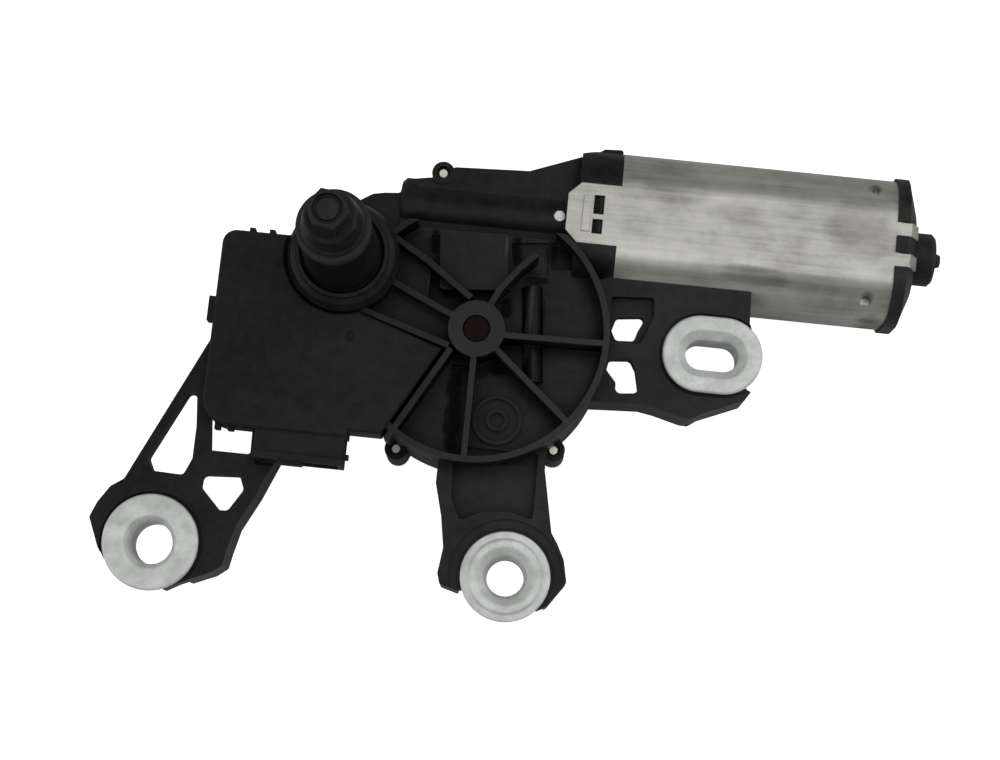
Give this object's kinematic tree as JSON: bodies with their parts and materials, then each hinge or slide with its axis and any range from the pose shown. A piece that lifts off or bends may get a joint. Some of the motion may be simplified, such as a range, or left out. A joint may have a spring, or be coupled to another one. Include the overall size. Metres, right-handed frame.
{
  "type": "wiper motor",
  "caption": "Rear-window wiper motor: worm gear and toothed link swing a tall spindle; black housing with rubber-mounted feet, electronics cover and plug socket.",
  "frame": {"origin": "on the spindle axis, in the plane of the three mounting bushes' front faces", "axes": "+Z out along the spindle, away from the vehicle; +X along the armature shaft from the gears to the motor; +Y away from the lower feet"},
  "size_m": [0.2407, 0.1452, 0.1015],
  "materials": {
    "black_casting": "black coated die casting, semi-matt",
    "black_cover": "fine-grained black moulding",
    "rear_cover": "black coated sheet",
    "can_steel": "zinc plated deep-drawn sheet",
    "bell_plastic": "dark grey moulding",
    "bush_metal": "turned, bead-blasted",
    "black_rubber": "matt",
    "cap_plastic": "smooth black moulding",
    "steel": "bright steel",
    "screw_steel": "zinc plated",
    "pin_metal": "tinned brass",
    "board_green": "varnished laminate",
    "black_resin": "moulded package",
    "capacitor_can": "drawn can",
    "gasket_rubber": "pressed sheet",
    "ferrite": "sintered, ground",
    "spring_steel": "spring steel",
    "lamination": "stamped sheets",
    "copper": "enamelled copper wire",
    "commutator_copper": "turned copper",
    "card_plastic": "phenolic moulding",
    "carbon": "pressed carbon",
    "sinter_bronze": "sintered bronze",
    "wheel_plastic": "natural acetal"
  },
  "bodies": {
    "body": {"gear_housing": "black_casting", "electronics_cover": "black_cover", "connector_pins": "pin_metal", "circuit_board": "board_green", "relay": "black_resin", "capacitor": "capacitor_can", "power_transistors": "black_resin", "controller_chip": "black_resin", "back_cover": "rear_cover", "back_gasket": "gasket_rubber", "cover_screws": "screw_steel", "yoke": "can_steel", "end_bell": "bell_plastic", "magnets": "ferrite", "magnet_clips": "spring_steel", "thrust_pad": "steel", "rear_thrust_pad": "card_plastic", "nose_bearing": "sinter_bronze", "front_bearing": "sinter_bronze", "rear_bearing": "sinter_bronze", "brush_card": "card_plastic", "brushes": "carbon", "brush_springs": "spring_steel", "chokes": "copper", "tunnel_pin": "steel", "wheel_axle": "steel", "axle_clip": "spring_steel", "wheel_washer": "steel", "spindle_bush_upper": "sinter_bronze", "spindle_bush_lower": "sinter_bronze", "spindle_seal": "black_rubber", "left_bush": "bush_metal", "lower_bush": "bush_metal", "right_bush": "bush_metal", "left_grommet": "black_rubber", "lower_grommet": "black_rubber", "right_grommet": "black_rubber"},
    "armature": {"armature_shaft": "steel", "thrust_ball": "steel", "lamination_stack": "lamination", "windings": "copper", "commutator": "commutator_copper"},
    "wheel": {"worm_wheel": "wheel_plastic", "crank_pin": "steel", "park_magnet": "ferrite"},
    "wiper_spindle": {"spindle": "steel", "spindle_pinion": "steel", "spindle_spacer": "steel", "spindle_clip": "spring_steel"},
    "guide": {"guide_plate": "steel", "link_pin": "steel"},
    "link": {"toothed_link": "steel", "link_bush": "sinter_bronze"},
    "cap": {"spindle_cap": "cap_plastic"}
  },
  "joints": [
    {"name": "armature_spin", "type": "hinge", "parent": "body", "child": "armature", "pos_m": [0, 0.0218, -0.016], "axis": [1, 0, 0], "continuous": true},
    {"name": "wheel_spin", "type": "hinge", "parent": "body", "child": "wheel", "pos_m": [0.0404, -0.0172, -0.016], "axis": [0, 0, 1], "continuous": true},
    {"name": "spindle_swing", "type": "hinge", "parent": "body", "child": "wiper_spindle", "pos_m": [0, 0, 0], "axis": [0, 0, 1], "range_deg": [0, 105.48]},
    {"name": "guide_swing", "type": "hinge", "parent": "body", "child": "guide", "pos_m": [0, 0, -0.0275], "axis": [0, 0, 1], "range_deg": [0, 48.21]},
    {"name": "link_swing", "type": "hinge", "parent": "guide", "child": "link", "pos_m": [-0.00783, -0.02584, -0.0243], "axis": [0, 0, 1], "range_deg": [-45.83, 0]},
    {"name": "cap_pull", "type": "slide", "parent": "wiper_spindle", "child": "cap", "axis": [0, 0, 1], "range_m": [0, 0.06]}
  ],
  "couplings": [
    {"joint": "wheel_spin", "follows": "armature_spin", "ratio": 0.017544},
    {"joint": "guide_swing", "follows": "spindle_swing", "ratio": 0.45698},
    {"joint": "link_swing", "follows": "spindle_swing", "ratio": -0.43441}
  ]
}
